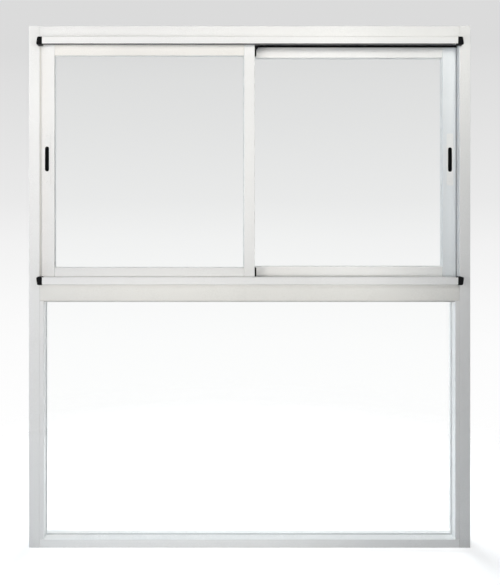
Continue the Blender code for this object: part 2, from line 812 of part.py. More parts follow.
def make_lock_cup(name, x, side, mouth_y, into):
    """A black finger pull: a pill-shaped cup with the latch's lever in its lower half.

    into is 1 for a cup that opens at the face and -1 for one that opens at the back.
    """
    floor_y = mouth_y + into * LOCK_CUP_DEPTH
    body_pill = pill(x, LOCK_HEIGHT, LOCK_SLOT_WIDTH, LOCK_SLOT_LENGTH)
    cup = as_mesh(run_along_y([body_pill], *sorted((mouth_y, floor_y))))
    walls = 2 * LOCK_CUP_WALL
    hollow_pill = pill(x, LOCK_HEIGHT, LOCK_SLOT_WIDTH - walls, LOCK_SLOT_LENGTH - walls)
    hollow_y = sorted((mouth_y - into * CUT_BEYOND, floor_y - into * LOCK_CUP_WALL))
    hollow = as_mesh(run_along_y([hollow_pill], *hollow_y))
    combine(cup, use_as_cutter(hollow, f"{name}_hollow_cutter"), "DIFFERENCE", "MANIFOLD")
    half_lever = LOCK_LEVER_WIDTH / 2
    lever_x = x - side * (LOCK_SLOT_WIDTH / 2 - LOCK_CUP_WALL - half_lever + JOIN_BITE)
    lever_y = sorted((floor_y - into * LOCK_CUP_WALL / 2, floor_y - into * LOCK_LEVER_RISE))
    lever = make_box(
        (lever_x - half_lever, lever_y[0], LOCK_HEIGHT - LOCK_LEVER_LENGTH),
        (lever_x + half_lever, lever_y[1], LOCK_HEIGHT - LOCK_LEVER_DROP),
    )
    combine(cup, use_as_cutter(lever, f"{name}_lever_join"), "UNION", "MANIFOLD")
    return finish_piece(cup, name, BLACK_PLASTIC)


def make_lock_plate(name, x, face_y):
    plate_outline = rectangle(
        x - LOCK_PLATE_WIDTH / 2,
        LOCK_HEIGHT - LOCK_PLATE_LENGTH / 2,
        x + LOCK_PLATE_WIDTH / 2,
        LOCK_HEIGHT + LOCK_PLATE_LENGTH / 2,
        radius=LOCK_PLATE_ROUND,
    )
    slot = pill(x, LOCK_HEIGHT, LOCK_SLOT_WIDTH + 2 * FIT, LOCK_SLOT_LENGTH + 2 * FIT)
    front_y = face_y - FIT - LOCK_PLATE_THICKNESS
    plate = run_along_y([plate_outline, slot], front_y, face_y - FIT)
    return finish_piece(plate, name, COATING)


def make_seal_block(name, side, face_y, inner_z, toe_z, tip_z):
    """A black plastic block on the front meeting stile's free edge, beside one rail.

    It runs from the rail's glass edge, inner_z, out to its tip at the frame, and is at
    its widest, a toe, from toe_z on.
    """
    x = -side * (MEETING_X + FIT)
    flank_x = x - side * SEAL_BLOCK_WIDTH
    toe_x = flank_x - side * SEAL_BLOCK_TOE
    direction = math.copysign(1.0, tip_z - inner_z)
    points = outline(
        [
            (x, inner_z),
            (flank_x, inner_z, EDGE_ROUND),
            (flank_x, toe_z - direction * SEAL_BLOCK_TOE_RISE),
            (toe_x, toe_z),
            (toe_x, tip_z),
            (x, tip_z),
        ]
    )
    low_y = face_y + SEAL_BLOCK_SETBACK
    high_y = face_y + SASH_THICKNESS - SEAL_BLOCK_SETBACK
    return finish_piece(run_along_y([points], low_y, high_y), name, BLACK_PLASTIC)


def make_sash(prefix, edge_x, face_y, turned):
    """One sliding sash, from its outer edge at edge_x to the middle of the window."""
    side = round(math.copysign(1, edge_x))
    outer_edge = edge_x - side * OUTER_STILE
    meeting_edge = side * (MEETING_STILE - MEETING_X)
    low_x, high_x = sorted((outer_edge, meeting_edge))
    make_outer_stile(prefix, side, face_y, edge_x)
    make_meeting_stile(prefix, side, face_y, turned)
    make_rails(prefix, low_x, high_x, face_y)
    low_z = SASH_BOTTOM_Z + BOTTOM_RAIL
    high_z = SASH_TOP_Z - TOP_RAIL
    sight = (low_x, low_z, high_x, high_z)
    pocket = (
        low_x - POCKET_DEPTH,
        low_z - POCKET_DEPTH,
        high_x + POCKET_DEPTH,
        high_z + POCKET_DEPTH,
    )
    middle_y = face_y + SASH_THICKNESS / 2
    half_mouth = POCKET_MOUTH / 2 - FIT
    gasket_y = (middle_y - half_mouth, middle_y + half_mouth)
    make_glazing(prefix, sight, pocket, middle_y - SASH_GLASS / 2, SASH_GLASS, gasket_y)
    make_roller(f"{prefix}_left_roller", low_x + ROLLER_IN, middle_y)
    make_roller(f"{prefix}_right_roller", high_x - ROLLER_IN, middle_y)
    lock_x = edge_x - side * LOCK_IN
    make_lock_plate(f"{prefix}_lock_plate", lock_x, face_y)
    front_mouth = face_y - FIT - LOCK_PLATE_THICKNESS
    make_lock_cup(f"{prefix}_outside_lock", lock_x, side, front_mouth, 1)
    make_lock_cup(f"{prefix}_inside_lock", lock_x, side, face_y + SASH_THICKNESS, -1)
    return low_z, high_z


def make_sashes():
    low_z, high_z = make_sash("left_sash", LEFT_SASH_X, FRONT_SASH_Y, False)
    make_sash("right_sash", RIGHT_SASH_X, REAR_SASH_Y, True)
    top_toe_z = (high_z + SASH_TOP_Z) / 2
    make_seal_block("top_seal_block", -1, FRONT_SASH_Y, high_z, top_toe_z, SASH_TOP_Z)
    lip_z = TRACK_FLOOR_Z + TRANSOM_FRONT_LIP
    low_toe_z = lip_z - SEAL_BLOCK_TOE_RISE - SEAL_BLOCK_TOE_HIDDEN
    low_tip_z = TRACK_TOP_Z + FIT
    make_seal_block("bottom_seal_block", -1, FRONT_SASH_Y, low_z, low_toe_z, low_tip_z)


def guide_points(flip_z=None):
    """A screen guide's U section as (depth, height) points, open upwards.

    Given flip_z, the height that its closed side hangs from, it opens downwards.
    """
    front = FRONT_Y - GUIDE_DEPTH
    back = FRONT_Y - FIT
    wall = GUIDE_WALL
    corners = [
        (front, 0.0, GUIDE_ROUND),
        (front, GUIDE_HEIGHT),
        (front + wall, GUIDE_HEIGHT),
        (front + wall, wall),
        (back - wall, wall),
        (back - wall, GUIDE_HEIGHT),
        (back, GUIDE_HEIGHT),
        (back, 0.0),
    ]
    points = outline(corners)
    if flip_z is not None:
        return [(depth, flip_z - up) for depth, up in points]
    return points


def make_end_cap(name, side, low_z, opens_up, plug_low, plug_high):
    """A black plug whose head closes one end of a screen guide.

    The head is longer towards the guide's open side, which is up where opens_up is true.
    """
    inner_x = HALF_WIDTH - GUIDE_END_IN + FIT
    long_x = inner_x + CAP_LENGTH
    short_x = long_x - CAP_SLANT
    bottom_x, top_x = (short_x, long_x) if opens_up else (long_x, short_x)
    head_outline = outline(
        [
            (inner_x, low_z),
            (bottom_x, low_z, CAP_ROUND),
            (top_x, low_z + CAP_HEIGHT, CAP_ROUND),
            (inner_x, low_z + CAP_HEIGHT),
        ]
    )
    front = FRONT_Y - GUIDE_DEPTH
    cap = as_mesh(run_along_y([on_side(side, head_outline)], front, FRONT_Y - FIT))
    rounding = cap.modifiers.new("rounding", "BEVEL")
    rounding.width = CAP_EDGE_ROUND
    rounding.segments = CAP_EDGE_STEPS
    rounding.limit_method = "ANGLE"
    rounding.angle_limit = SHARP_ANGLE
    ends = sorted((side * (inner_x - CAP_PLUG), side * (inner_x + CAP_PLUG_ROOT)))
    inside = GUIDE_WALL + FIT
    plug = make_box(
        (ends[0], front + inside, plug_low),
        (ends[1], FRONT_Y - FIT - inside, plug_high),
    )
    combine(cap, use_as_cutter(plug, f"{name}_plug_join"), "UNION")
    return finish_piece(cap, name, BLACK_PLASTIC)


def make_screen_guides():
    half_length = HALF_WIDTH - GUIDE_END_IN
    upper_top = UPPER_GUIDE_Z + GUIDE_HEIGHT
    upper = run_along_x([guide_points(upper_top)], -half_length, half_length)
    finish_piece(upper, "upper_screen_guide", COATING)
    lower_points = [(depth, LOWER_GUIDE_Z + up) for depth, up in guide_points()]
    lower = run_along_x([lower_points], -half_length, half_length)
    finish_piece(lower, "lower_screen_guide", COATING)
    inside = GUIDE_WALL + FIT
    lower_mouth = LOWER_GUIDE_Z + GUIDE_HEIGHT
    upper_plug = (UPPER_GUIDE_Z + CAP_PLUG_RECESS, upper_top - inside)
    lower_plug = (LOWER_GUIDE_Z + inside, lower_mouth - CAP_PLUG_RECESS)
    for label, side in (("left", -1), ("right", 1)):
        low_z = upper_top - CAP_HEIGHT - CAP_DROP
        make_end_cap(f"upper_{label}_end_cap", side, low_z, False, *upper_plug)
        make_end_cap(f"lower_{label}_end_cap", side, LOWER_GUIDE_Z - CAP_DROP, True, *lower_plug)


def make_pile_strip():
    """Black pile along the head's middle fin, brushing the front sash's back."""
    fin_face = FIN_Y - FRAME_WALL / 2 - FIT
    low_z = HEAD_LIP_Z - PILE_HANG
    strip = make_box(
        (FIT - CHANNEL_X, fin_face - PILE_THICKNESS, low_z),
        (CHANNEL_X - FIT, fin_face, low_z + PILE_HEIGHT),
    )
    return finish_piece(strip, "head_pile_strip", BLACK_PILE)


def main():
    make_jamb("left_jamb", -1)
    make_jamb("right_jamb", 1)
    make_head()
    make_transom()
    make_sill()
    make_fixed_light()
    make_sashes()
    make_screen_guides()
    make_pile_strip()


main()
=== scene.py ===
# %% [markdown]
# # A sliding window over a fixed light
# This lesson dresses a window whose solids were already built as CAD. The window has
# two glazed sashes that slide past each other above one fixed pane. It is made of
# aluminium sections with a white powder coat. The solids come in as a fixed frame:
# they are never moved. Here they get their finishes, the small parts that CAD left
# out, a camera that stands where the photographer stood, and the studio.

# %% Load the solids
import json
import math

import bpy
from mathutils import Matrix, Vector


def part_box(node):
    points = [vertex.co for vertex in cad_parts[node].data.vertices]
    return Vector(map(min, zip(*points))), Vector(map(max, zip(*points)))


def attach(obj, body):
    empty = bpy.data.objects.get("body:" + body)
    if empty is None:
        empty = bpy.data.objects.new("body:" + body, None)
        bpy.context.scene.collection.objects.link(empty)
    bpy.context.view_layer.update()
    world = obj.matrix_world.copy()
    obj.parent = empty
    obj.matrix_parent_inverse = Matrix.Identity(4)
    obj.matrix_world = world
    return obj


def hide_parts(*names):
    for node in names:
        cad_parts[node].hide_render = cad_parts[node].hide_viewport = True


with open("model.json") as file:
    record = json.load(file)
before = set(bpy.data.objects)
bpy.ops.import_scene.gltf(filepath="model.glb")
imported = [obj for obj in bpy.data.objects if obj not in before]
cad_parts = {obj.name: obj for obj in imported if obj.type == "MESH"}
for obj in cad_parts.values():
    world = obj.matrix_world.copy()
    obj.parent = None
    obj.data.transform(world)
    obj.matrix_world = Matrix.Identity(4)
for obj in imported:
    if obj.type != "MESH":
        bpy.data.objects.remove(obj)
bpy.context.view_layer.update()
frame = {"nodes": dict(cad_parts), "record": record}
nodes = frame["nodes"]

# %% [markdown]
# ## The camera
# The edges of a window are straight and parallel, and they stay parallel in a picture
# only when the camera looks square on to it. So the camera isn't tilted. It looks
# along +Y from a point a little left of the middle and well above it, and the lens
# is shifted sideways and down to bring the whole window into the picture, as a view
# camera does. From there we look into the left faces of the right-hand reveals and
# on to the tops of the ledges, which gives the window its depth. Lengths are in
# metres, but the sensor and the lens are in millimetres, as Blender has them.

# %% Set the camera where the photographer stood
PICTURE_HEIGHT = 585
METRES_PER_PIXEL = 0.002491
MIDDLE_X = 0.001
MIDDLE_Z = 0.636
CAMERA_X = -0.120
CAMERA_Z = 0.870
CAMERA_DISTANCE = 1.80
SENSOR_WIDTH = 36.0

picture_span = METRES_PER_PIXEL * PICTURE_HEIGHT
camera_data = bpy.data.cameras.new("camera")
camera_data.sensor_width = SENSOR_WIDTH
camera_data.lens = SENSOR_WIDTH * CAMERA_DISTANCE / picture_span
camera_data.shift_x = (MIDDLE_X - CAMERA_X) / picture_span
camera_data.shift_y = (MIDDLE_Z - CAMERA_Z) / picture_span
camera = bpy.data.objects.new("camera", camera_data)
camera.location = (CAMERA_X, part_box("left_jamb")[0].y - CAMERA_DISTANCE, CAMERA_Z)
camera.rotation_euler = (math.pi / 2, 0.0, 0.0)
bpy.context.scene.collection.objects.link(camera)
bpy.context.scene.camera = camera
bpy.context.scene.view_settings.view_transform = "Standard"
print("lens", round(camera_data.lens, 1), "mm, shift", round(camera_data.shift_x, 3),
      round(camera_data.shift_y, 3))

# %% [markdown]
# ## Shader sums written as Python
# A finish is a tree of nodes, and most of them are small sums. `Wire` stands for the
# output of a node. When two wires are added or multiplied, Python adds the Math node
# and links it. The reflected forms, such as `__rsub__`, let a number come first.

# %% A wire
class Wire:
    """One output in a node tree. Sums on it become Math nodes."""

    def __init__(self, finish, socket):
        self.finish = finish
        self.socket = socket

    def math(self, operation, first, second):
        inputs = {0: first, 1: second}
        return self.finish.node("ShaderNodeMath", {"operation": operation}, inputs)

    def __add__(self, other):
        return self.math("ADD", self, other)

    __radd__ = __add__

    def __sub__(self, other):
        return self.math("SUBTRACT", self, other)

    def __rsub__(self, other):
        return self.math("SUBTRACT", other, self)

    def __mul__(self, other):
        return self.math("MULTIPLY", self, other)

    __rmul__ = __mul__

    def __truediv__(self, other):
        return self.math("DIVIDE", self, other)

    def __pow__(self, other):
        return self.math("POWER", self, other)


print("wires can be added, subtracted, multiplied, divided and raised")

# %% [markdown]
# `Finish` holds one tree. Its `node` method makes any node: the settings come first,
# because some of them change which sockets there are, and then come the values or
# wires of its sockets. The nodes that are needed most have a short method each.

# %% A finish
class Finish:
    """The node tree of a material or of the world."""

    def __init__(self, owner):
        owner.use_nodes = True
        self.owner = owner
        self.tree = owner.node_tree
        self.tree.nodes.clear()

    def node(self, kind, settings=(), inputs=(), output=0):
        made = self.tree.nodes.new(kind)
        for name, value in dict(settings).items():
            if name == "stops":
                self.set_stops(made.color_ramp, value)
            else:
                setattr(made, name, value)
        for key, value in dict(inputs).items():
            if isinstance(value, Wire):
                self.tree.links.new(value.socket, made.inputs[key])
            else:
                made.inputs[key].default_value = value
        return Wire(self, made.outputs[output])

    def set_stops(self, ramp, stops):
        while len(ramp.elements) < len(stops):
            ramp.elements.new(1.0)
        for element, (place, colour) in zip(ramp.elements, stops):
            element.position = place
            element.color = colour

    def place(self):
        """Where a point is on the object, in metres."""
        return self.node("ShaderNodeTexCoord", output="Object")

    def stretched(self, vector, stretch):
        inputs = {0: vector, 1: stretch}
        return self.node("ShaderNodeVectorMath", {"operation": "MULTIPLY"}, inputs)

    def noise(self, vector, scale, detail=2.0):
        inputs = {"Vector": vector, "Scale": scale, "Detail": detail}
        return self.node("ShaderNodeTexNoise", {}, inputs)

    def clamp(self, value):
        """The value, kept between 0 and 1."""
        return self.node("ShaderNodeClamp", {}, {"Value": value})

    def mix(self, factor, first, second):
        """A colour between two others."""
        inputs = {0: factor, 6: first, 7: second}
        return self.node("ShaderNodeMix", {"data_type": "RGBA"}, inputs, output=2)

    def bump(self, height, strength, distance):
        inputs = {"Height": height, "Strength": strength, "Distance": distance}
        return self.node("ShaderNodeBump", {}, inputs)

    def principled(self, inputs):
        return self.node("ShaderNodeBsdfPrincipled", {}, inputs)

    def mix_shaders(self, factor, first, second):
        return self.node("ShaderNodeMixShader", {}, {0: factor, 1: first, 2: second})

    def show(self, shader, kind="ShaderNodeOutputMaterial"):
        out = self.tree.nodes.new(kind)
        self.tree.links.new(shader.socket, out.inputs["Surface"])
        return self.owner


def new_finish(name):
    return Finish(bpy.data.materials.new(name))


print("finishes are ready to be mixed")

# %% [markdown]
# ## White powder coat
# The aluminium is sprayed with a dry powder that is then baked. It melts into a skin
# that is white, satin and not quite flat: close up it has the faint dimples that
# sprayers call orange peel. Under the skin the metal was pushed through a die, so
# long faint lines run along each member. The lines have to follow the member, so
# uprights and level members get a finish each, and only the stretch differs. Four
# more copies of the coat scale its colour by a tone, which paints shade or light on
# the members that take them: darker or tinted for shade, lighter for light.

# %% Mix the powder coat
COAT_WHITE = (0.870, 0.872, 0.862)
COAT_SHADED = (0.835, 0.840, 0.835)
UPRIGHT = (700.0, 700.0, 1.5)
LEVEL = (1.5, 700.0, 700.0)
PLAIN = (1.0, 1.0, 1.0)
CLOUD_SCALE = 5.0
CLOUD_SHARE = 0.75
PEEL_SCALE = 650.0
PEEL_SHARE = 0.65
SATIN_ROUGHNESS = 0.20
CLOUD_ROUGHNESS = 0.10
PEEL_ROUGHNESS = 0.05
COAT_RELIEF = 0.10
COAT_RELIEF_DEPTH = 0.0004
REFRACTION = 1.5
COAT_VARIANTS = {
    "upright": (UPRIGHT, PLAIN),
    "level": (LEVEL, PLAIN),
    # These four tones paint shade, warm shade, cool shade and light on a member.
    "painted_shade": (LEVEL, (0.93, 0.92, 0.89)),
    "painted_warm_shade": (LEVEL, (0.96, 0.94, 0.91)),
    "painted_cool_shade": (UPRIGHT, (0.94, 0.97, 1.00)),
    "painted_light": (LEVEL, (1.09, 1.09, 1.09)),
}


def toned(colour, tone):
    return (*(value * share for value, share in zip(colour, tone)), 1.0)


def powder_coat(name, stretch, tone):
    finish = new_finish(name)
    place = finish.place()
    die_lines = finish.noise(finish.stretched(place, stretch), 1.0, detail=3.0)
    clouds = finish.noise(place, CLOUD_SCALE, detail=3.0)
    peel = finish.noise(place, PEEL_SCALE, detail=1.0)
    shade = clouds * CLOUD_SHARE + die_lines * (1.0 - CLOUD_SHARE)
    height = peel * PEEL_SHARE + die_lines * (1.0 - PEEL_SHARE)
    coat = finish.principled(
        {
            "Base Color": finish.mix(shade, toned(COAT_WHITE, tone), toned(COAT_SHADED, tone)),
            "Roughness": SATIN_ROUGHNESS + clouds * CLOUD_ROUGHNESS + peel * PEEL_ROUGHNESS,
            "Normal": finish.bump(height, COAT_RELIEF, COAT_RELIEF_DEPTH),
            "IOR": REFRACTION,
        }
    )
    return finish.show(coat)


coats = {
    variant: powder_coat(f"powder_coat_{variant}", stretch, tone)
    for variant, (stretch, tone) in COAT_VARIANTS.items()
}
print(len(coats), "variants of powder coat:", ", ".join(coats))

# %% [markdown]
# ## Clear glass
# Window glass bends the view hardly at all, because its two faces are parallel. It
# shows mostly by what it mirrors. A Principled shader with all its weight on
# transmission does both. Lamps are the trouble: a path tracer can't find a lamp
# through glass, so everything behind a pane would be dark. For shadow rays only, the
# pane is swapped for a transparent shader with a hint of green. Faint smears and
# waves keep the mirror image from being perfect.

# %% Mix the glass
GLASS_TINT = (0.990, 0.998, 0.995, 1.0)
GLASS_SHADOW = (0.93, 0.95, 0.945, 1.0)
SMEAR_SCALE = 9.0
SMEAR_ROUGHNESS = 0.012
WAVE_SCALE = 3.0
WAVE_RELIEF = 0.05
WAVE_DEPTH = 0.0005


def clear_glass():
    finish = new_finish("clear_float_glass")
    place = finish.place()
    smears = finish.noise(place, SMEAR_SCALE, detail=4.0)
    waves = finish.noise(place, WAVE_SCALE, detail=1.0)
    pane = finish.principled(
        {
            "Base Color": GLASS_TINT,
            "Roughness": smears * SMEAR_ROUGHNESS,
            "Normal": finish.bump(waves, WAVE_RELIEF, WAVE_DEPTH),
            "IOR": REFRACTION,
            "Transmission Weight": 1.0,
        }
    )
    open_air = finish.node("ShaderNodeBsdfTransparent", {}, {"Color": GLASS_SHADOW})
    for_lamps = finish.node("ShaderNodeLightPath", output="Is Shadow Ray")
    return finish.show(finish.mix_shaders(for_lamps, pane, open_air))


glass = clear_glass()
print(glass.name)

# %% [markdown]
# ## Plastic, rubber, pile and nylon
# Five small finishes share one recipe: two close colours, a roughness that wanders a
# little, and a bump whose grain is as big as the real one. Moulded plastic has a fine
# spark-eroded grain. Extruded rubber is duller, and a darker grey copy of it paints
# the shade line at the transom's lower edge. Pile is made of fibres, so its grain is
# stretched upwards. A black that mirrors a white studio turns grey, so the black ones
# also get less of the clear sheen that plastics have.

# %% Mix the five small finishes
PLASTIC_BLACKS = ((0.002, 0.002, 0.0025), (0.004, 0.004, 0.0045))
RUBBER_GREYS = ((0.78, 0.79, 0.79), (0.86, 0.87, 0.87))
# A darker grey that paints the shade line under the transom.
SHADE_LINE_GREYS = ((0.50, 0.50, 0.49), (0.60, 0.60, 0.59))
PILE_BLACKS = ((0.002, 0.002, 0.002), (0.007, 0.007, 0.008))
NYLON_WHITES = ((0.70, 0.69, 0.65), (0.80, 0.79, 0.75))
FIBRES = (8.0, 8.0, 1.0)
PATCH_SCALE = 60.0
PATCH_ROUGHNESS = 0.12
GRAIN_DEPTH = 0.0002


def small_finish(name, colours, roughness, sheen, grain, relief, stretch=PLAIN):
    finish = new_finish(name)
    place = finish.place()
    speckle = finish.noise(finish.stretched(place, stretch), grain)
    patches = finish.noise(place, PATCH_SCALE, detail=3.0)
    dark, light = [(*colour, 1.0) for colour in colours]
    surface = finish.principled(
        {
            "Base Color": finish.mix(speckle * 0.5 + patches * 0.5, dark, light),
            "Roughness": roughness + patches * PATCH_ROUGHNESS,
            "Normal": finish.bump(speckle, relief, GRAIN_DEPTH),
            "Specular IOR Level": sheen,
        }
    )
    return finish.show(surface)


black_plastic = small_finish(
    "moulded_black_plastic", PLASTIC_BLACKS, roughness=0.42, sheen=0.12, grain=1500.0, relief=0.25
)
grey_rubber = small_finish(
    "extruded_grey_rubber", RUBBER_GREYS, roughness=0.62, sheen=0.40, grain=900.0, relief=0.20
)
# Painted shade: the darker grey of the strip under the transom.
shade_line_rubber = small_finish(
    "shade_line_grey_rubber", SHADE_LINE_GREYS, roughness=0.75, sheen=0.30, grain=900.0, relief=0.25
)
black_pile = small_finish(
    "black_pile", PILE_BLACKS, roughness=0.85, sheen=0.05, grain=300.0, relief=0.8, stretch=FIBRES
)
white_nylon = small_finish(
    "white_nylon", NYLON_WHITES, roughness=0.42, sheen=0.50, grain=1200.0, relief=0.15
)
print(black_plastic.name, grey_rubber.name, shade_line_rubber.name, black_pile.name, white_nylon.name)

# %% [markdown]
# ## Dressing the solids
# The record says which slot each solid belongs to, so the finishes are handed out by
# slot. The powder coat needs one more question: does the member stand or lie? Its
# box answers, because an upright is taller than it is wide. Six members take a coat
# with painted shade or light: painted shade on the transom, a warm painted shade on
# the left sash's top rail, a cool painted shade on the right sash's outer stile, and
# painted light on the sill, the bead above it and the right sash's bottom rail.

# %% Give each solid its finish
# Members whose coat tone paints shade or light on them.
PAINTED_TONE_OF = {
    "transom": "painted_shade",
    "left_sash_top_rail": "painted_warm_shade",
    "right_sash_outer_stile": "painted_cool_shade",
    "sill": "painted_light",
    "bottom_glazing_bead": "painted_light",
    "right_sash_bottom_rail": "painted_light",
}
FINISH_OF = {
    "clear_glass": glass,
    "black_plastic": black_plastic,
    "grey_rubber": grey_rubber,
    "black_pile": black_pile,
    "white_nylon": white_nylon,
}


def finish_for(node, slot):
    if slot in FINISH_OF:
        return FINISH_OF[slot]
    low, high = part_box(node)
    variant = "upright" if high.z - low.z > high.x - low.x else "level"
    return coats[PAINTED_TONE_OF.get(node, variant)]


def dress(obj, material):
    obj.data.materials.clear()
    obj.data.materials.append(material)


slots = {entry["node"]: entry["material_slot"] for entry in frame["record"]["subparts"]}
for node, obj in nodes.items():
    dress(obj, finish_for(node, slots[node]))
print(len(slots), "solids dressed")

# %% [markdown]
# ## Working by hand, in code
# Every small part below is modelled with the same operators that the buttons of edit
# mode call. They act on all that is selected, so each piece starts with nothing
# selected. Faces are then picked by which way they look: a face looks along an axis
# when its normal, which is 1 long, reaches at least nine tenths along it.

# %% Helpers that pick objects and faces
LOOKS_THAT_WAY = 0.9


def start_clean():
    if bpy.context.object and bpy.context.object.mode != "OBJECT":
        bpy.ops.object.mode_set(mode="OBJECT")
    bpy.ops.object.select_all(action="DESELECT")


def pick(*objects):
    """Selects these objects alone. The last one is the active one."""
    start_clean()
    for obj in objects:
        obj.select_set(True)
    bpy.context.view_layer.objects.active = objects[-1]


def edit(obj, mode="FACE"):
    pick(obj)
    bpy.ops.object.mode_set(mode="EDIT")
    bpy.ops.mesh.select_mode(type=mode)


def stop_editing():
    bpy.ops.object.mode_set(mode="OBJECT")


def select_faces(obj, wanted):
    """Selects the faces that wanted(centre, normal) is true for."""
    bpy.ops.mesh.select_all(action="DESELECT")
    stop_editing()
    for polygon in obj.data.polygons:
        polygon.select = wanted(polygon.center, polygon.normal)
    bpy.ops.object.mode_set(mode="EDIT")


print("objects and faces can be picked")

# %% [markdown]
# Four things happen to nearly every piece: its modifiers are applied, its place goes
# into its mesh, its edges are rounded, and in the end it gets its name and finish and
# is fixed to the window. A block between two corners starts most of them.

# %% Helpers that shape and place
def apply_modifiers(obj):
    pick(obj)
    for modifier in list(obj.modifiers):
        bpy.ops.object.modifier_apply(modifier=modifier.name)


def settle(obj):
    """Applies the object's place to its mesh, so that the object sits at the origin."""
    pick(obj)
    bpy.ops.object.transform_apply(location=True, rotation=True, scale=True)


def round_edges(obj, width, segments):
    edit(obj, "EDGE")
    bpy.ops.mesh.select_all(action="SELECT")
    bpy.ops.mesh.bevel(offset=width, segments=segments)
    stop_editing()


def add_block(low, high):
    """A cube brought to the box between two corners."""
    start_clean()
    bpy.ops.mesh.primitive_cube_add(size=1.0, location=(low + high) / 2)
    block = bpy.context.object
    block.scale = high - low
    settle(block)
    return block


def put_on(obj, name, material):
    """Names a finished piece, dresses it and fixes it to the window."""
    obj.name = name
    obj.data.name = name
    dress(obj, material)
    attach(obj, "root")
    return obj


print("pieces can be shaped and put on")

# %% [markdown]
# ## The screws of the lock plates
# Each lock plate is held by two small countersunk screws, one near each end. A screw
# head is a shallow dome with a cross-shaped recess. It is turned from a cylinder: the
# front face is inset twice, and lifted a little less each time, which makes the dome,
# and two bars cut the cross. One is modelled, and the four are copies of it.

# %% Model one screw head
SCREW_SIDES = 32
SCREW_RADIUS = 0.0031
SCREW_RISE = 0.0006
SCREW_SINK = 0.0004
DOME_STEPS = ((0.28, 0.35), (0.30, 0.15))
CROSS_REACH = 0.0019
CROSS_WIDTH = 0.00065
CROSS_DEPTH = 0.0007


def model_screw():
    """Half the rise is the cylinder's and half is the dome's."""
    start_clean()
    thickness = SCREW_SINK + SCREW_RISE / 2
    bpy.ops.mesh.primitive_cylinder_add(
        vertices=SCREW_SIDES, radius=SCREW_RADIUS, depth=thickness
    )
    head = bpy.context.object
    edit(head)
    select_faces(head, lambda centre, normal: normal.z > LOOKS_THAT_WAY)
    for inset, rise in DOME_STEPS:
        bpy.ops.mesh.inset(thickness=SCREW_RADIUS * inset)
        bpy.ops.transform.translate(value=(0.0, 0.0, SCREW_RISE * rise))
    stop_editing()
    return head, (thickness + SCREW_RISE) / 2


def cut_cross(head, crown):
    """Two bars, crossed, cut the recess for the driver."""
    for turn in (0.0, math.pi / 2):
        start_clean()
        bpy.ops.mesh.primitive_cube_add(
            size=1.0, location=(0.0, 0.0, crown), rotation=(0.0, 0.0, turn)
        )
        bar = bpy.context.object
        bar.scale = (2 * CROSS_REACH, CROSS_WIDTH, 2 * CROSS_DEPTH)
        settle(bar)
        cut = head.modifiers.new("cross", "BOOLEAN")
        cut.operation = "DIFFERENCE"
        cut.object = bar
        apply_modifiers(head)
        bpy.data.objects.remove(bar, do_unlink=True)


screw, screw_crown = model_screw()
cut_cross(screw, screw_crown)
print("screw head:", len(screw.data.polygons), "faces")

# %% Copy it to the ends of the lock plates
SCREW_IN = 0.0085
SCREW_TURNS = {
    ("left", "upper"): 0.3,
    ("left", "lower"): 1.1,
    ("right", "upper"): 0.7,
    ("right", "lower"): -0.2,
}


def add_screw(name, plate, end, turn):
    low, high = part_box(plate)
    obj = screw.copy()
    obj.data = screw.data.copy()
    bpy.context.scene.collection.objects.link(obj)
    z = (low.z + SCREW_IN) if end == "lower" else (high.z - SCREW_IN)
    obj.location = ((low.x + high.x) / 2, low.y - SCREW_RISE / 2, z)
    obj.rotation_euler = (math.pi / 2, turn, 0.0)
    settle(obj)
    put_on(obj, name, coats["upright"])


for (side, end), turn in SCREW_TURNS.items():
    add_screw(f"{side}_plate_{end}_screw", f"{side}_sash_lock_plate", end, turn)
bpy.data.objects.remove(screw, do_unlink=True)
print(len(SCREW_TURNS), "screws in place")

# %% [markdown]
# ## Pile strips
# Sliding parts are sealed with pile: a woven tape that carries a dense row of fibres.
# From a metre away the fibres read as narrow tufts. One tuft is a block whose tip is
# narrowed, an Array modifier repeats it along the member, and a bevelled bar is the
# tape that holds the row together. The strip on the head's fin takes the place of the
# plain bar that stood in for it. A second strip lines the upper screen guide, where
# CAD left the channel empty, and gives the dark line under that guide.

# %% Model the pile strips
PILE_PITCH = 0.004
TAPE_SHARE = 0.3
TAPE_ROUND = 0.0002
TIP_WIDTH = 0.92
TIP_DEPTH = 0.55
GUIDE_WALL = 0.0015
GUIDE_PILE_DEPTH = 0.0028
GUIDE_PILE_HEIGHT = 0.0055
GUIDE_PILE_GAP = 0.0001
CLEARANCE = 0.0003


def model_tufts(low, high):
    """A row of tufts whose tips point down."""
    tuft = add_block(low, Vector((low.x + PILE_PITCH, high.y, high.z)))
    edit(tuft)
    select_faces(tuft, lambda centre, normal: normal.z < -LOOKS_THAT_WAY)
    bpy.ops.transform.resize(value=(TIP_WIDTH, TIP_DEPTH, 1.0))
    stop_editing()
    row = tuft.modifiers.new("row", "ARRAY")
    row.use_relative_offset = False
    row.use_constant_offset = True
    row.constant_offset_displace = (PILE_PITCH, 0.0, 0.0)
    row.count = int((high.x - low.x) / PILE_PITCH)
    apply_modifiers(tuft)
    return tuft


def model_pile(low, high):
    tape_z = high.z - (high.z - low.z) * TAPE_SHARE
    tufts = model_tufts(low, Vector((high.x, high.y, tape_z)))
    tape = add_block(Vector((low.x, low.y, tape_z)), high)
    round_edges(tape, TAPE_ROUND, segments=2)
    pick(tufts, tape)
    bpy.ops.object.join()
    return tape


head_pile = put_on(model_pile(*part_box("head_pile_strip")), "head_pile", black_pile)
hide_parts("head_pile_strip")

guide_low, guide_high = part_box("upper_screen_guide")
back_y = guide_high.y - GUIDE_WALL - GUIDE_PILE_GAP
pile_low = Vector((guide_low.x + CLEARANCE, back_y - GUIDE_PILE_DEPTH, guide_low.z + CLEARANCE))
pile_high = Vector((guide_high.x - CLEARANCE, back_y, guide_low.z + GUIDE_PILE_HEIGHT))
put_on(model_pile(pile_low, pile_high), "upper_guide_pile", black_pile)
print("two pile strips, tufts every", PILE_PITCH * 1000, "mm")

